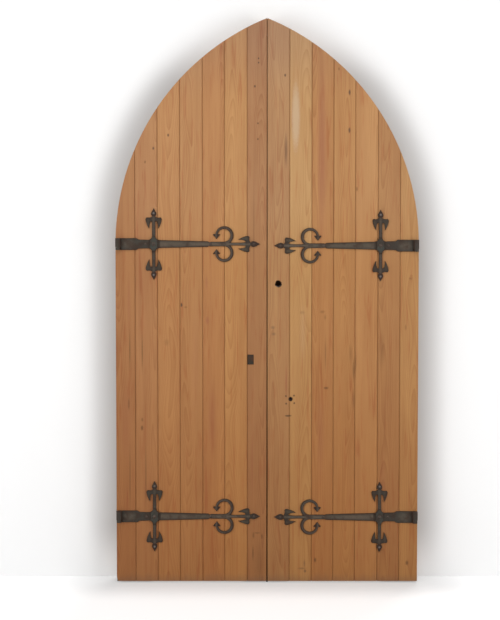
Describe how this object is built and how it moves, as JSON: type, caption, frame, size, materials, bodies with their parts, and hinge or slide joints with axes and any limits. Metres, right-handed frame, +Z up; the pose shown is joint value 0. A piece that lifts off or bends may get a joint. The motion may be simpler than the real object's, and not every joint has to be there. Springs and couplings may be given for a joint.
{
  "type": "arched double door",
  "caption": "Pair of pointed-arch boarded pine door leaves with scrolled iron strap hinges, hung on an arched timber frame.",
  "frame": {"origin": "centre of the bounding box at floor level, on the meeting line of the leaves", "axes": "+X to the viewer's right across the doorway, +Y from the boarded face to the back, +Z up"},
  "size_m": [1.312, 0.119, 2.4451],
  "materials": {
    "board_pine": "waxed, worn",
    "framing_pine": "sawn, worn",
    "frame_pine": "planed",
    "strap_iron": "forged, lightly rusted",
    "fixing_iron": "forged, worn bright",
    "keeper_iron": "rusted"
  },
  "bodies": {
    "frame": {"left_jamb": "frame_pine", "right_jamb": "frame_pine", "left_frame_head": "frame_pine", "right_frame_head": "frame_pine", "frame_pegs": "frame_pine", "left_upper_pintle": "strap_iron", "left_lower_pintle": "strap_iron", "right_upper_pintle": "strap_iron", "right_lower_pintle": "strap_iron"},
    "left_leaf": {"left_board_1": "board_pine", "left_board_2": "board_pine", "left_board_3": "board_pine", "left_board_4": "board_pine", "left_board_5": "board_pine", "left_board_6": "board_pine", "left_board_7": "board_pine", "left_hanging_stile": "framing_pine", "left_curved_head": "framing_pine", "left_meeting_stile": "framing_pine", "left_bottom_rail": "framing_pine", "left_lock_rail": "framing_pine", "left_top_rail": "framing_pine", "left_collar_rail": "framing_pine", "left_lower_brace": "framing_pine", "left_upper_brace": "framing_pine", "left_leaf_pegs": "framing_pine", "left_upper_strap": "strap_iron", "left_lower_strap": "strap_iron", "left_upper_cross_bar": "strap_iron", "left_lower_cross_bar": "strap_iron", "left_leaf_bolts": "fixing_iron", "left_leaf_nuts": "fixing_iron", "left_leaf_screws": "fixing_iron", "keeper_plate": "keeper_iron"},
    "right_leaf": {"right_board_1": "board_pine", "right_board_2": "board_pine", "right_board_3": "board_pine", "right_board_4": "board_pine", "right_board_5": "board_pine", "right_board_6": "board_pine", "right_board_7": "board_pine", "right_hanging_stile": "framing_pine", "right_curved_head": "framing_pine", "right_meeting_stile": "framing_pine", "right_bottom_rail": "framing_pine", "right_lock_rail": "framing_pine", "right_top_rail": "framing_pine", "right_collar_rail": "framing_pine", "right_lower_brace": "framing_pine", "right_upper_brace": "framing_pine", "right_leaf_pegs": "framing_pine", "right_upper_strap": "strap_iron", "right_lower_strap": "strap_iron", "right_upper_cross_bar": "strap_iron", "right_lower_cross_bar": "strap_iron", "right_leaf_bolts": "fixing_iron", "right_leaf_nuts": "fixing_iron", "right_leaf_screws": "fixing_iron"}
  },
  "joints": [
    {"name": "left_leaf_hinge", "type": "hinge", "parent": "frame", "child": "left_leaf", "pos_m": [-0.643, -0.0475, 1], "axis": [0, 0, -1], "range_deg": [0, 175]},
    {"name": "right_leaf_hinge", "type": "hinge", "parent": "frame", "child": "right_leaf", "pos_m": [0.643, -0.0475, 1], "axis": [0, 0, 1], "range_deg": [0, 175]}
  ]
}
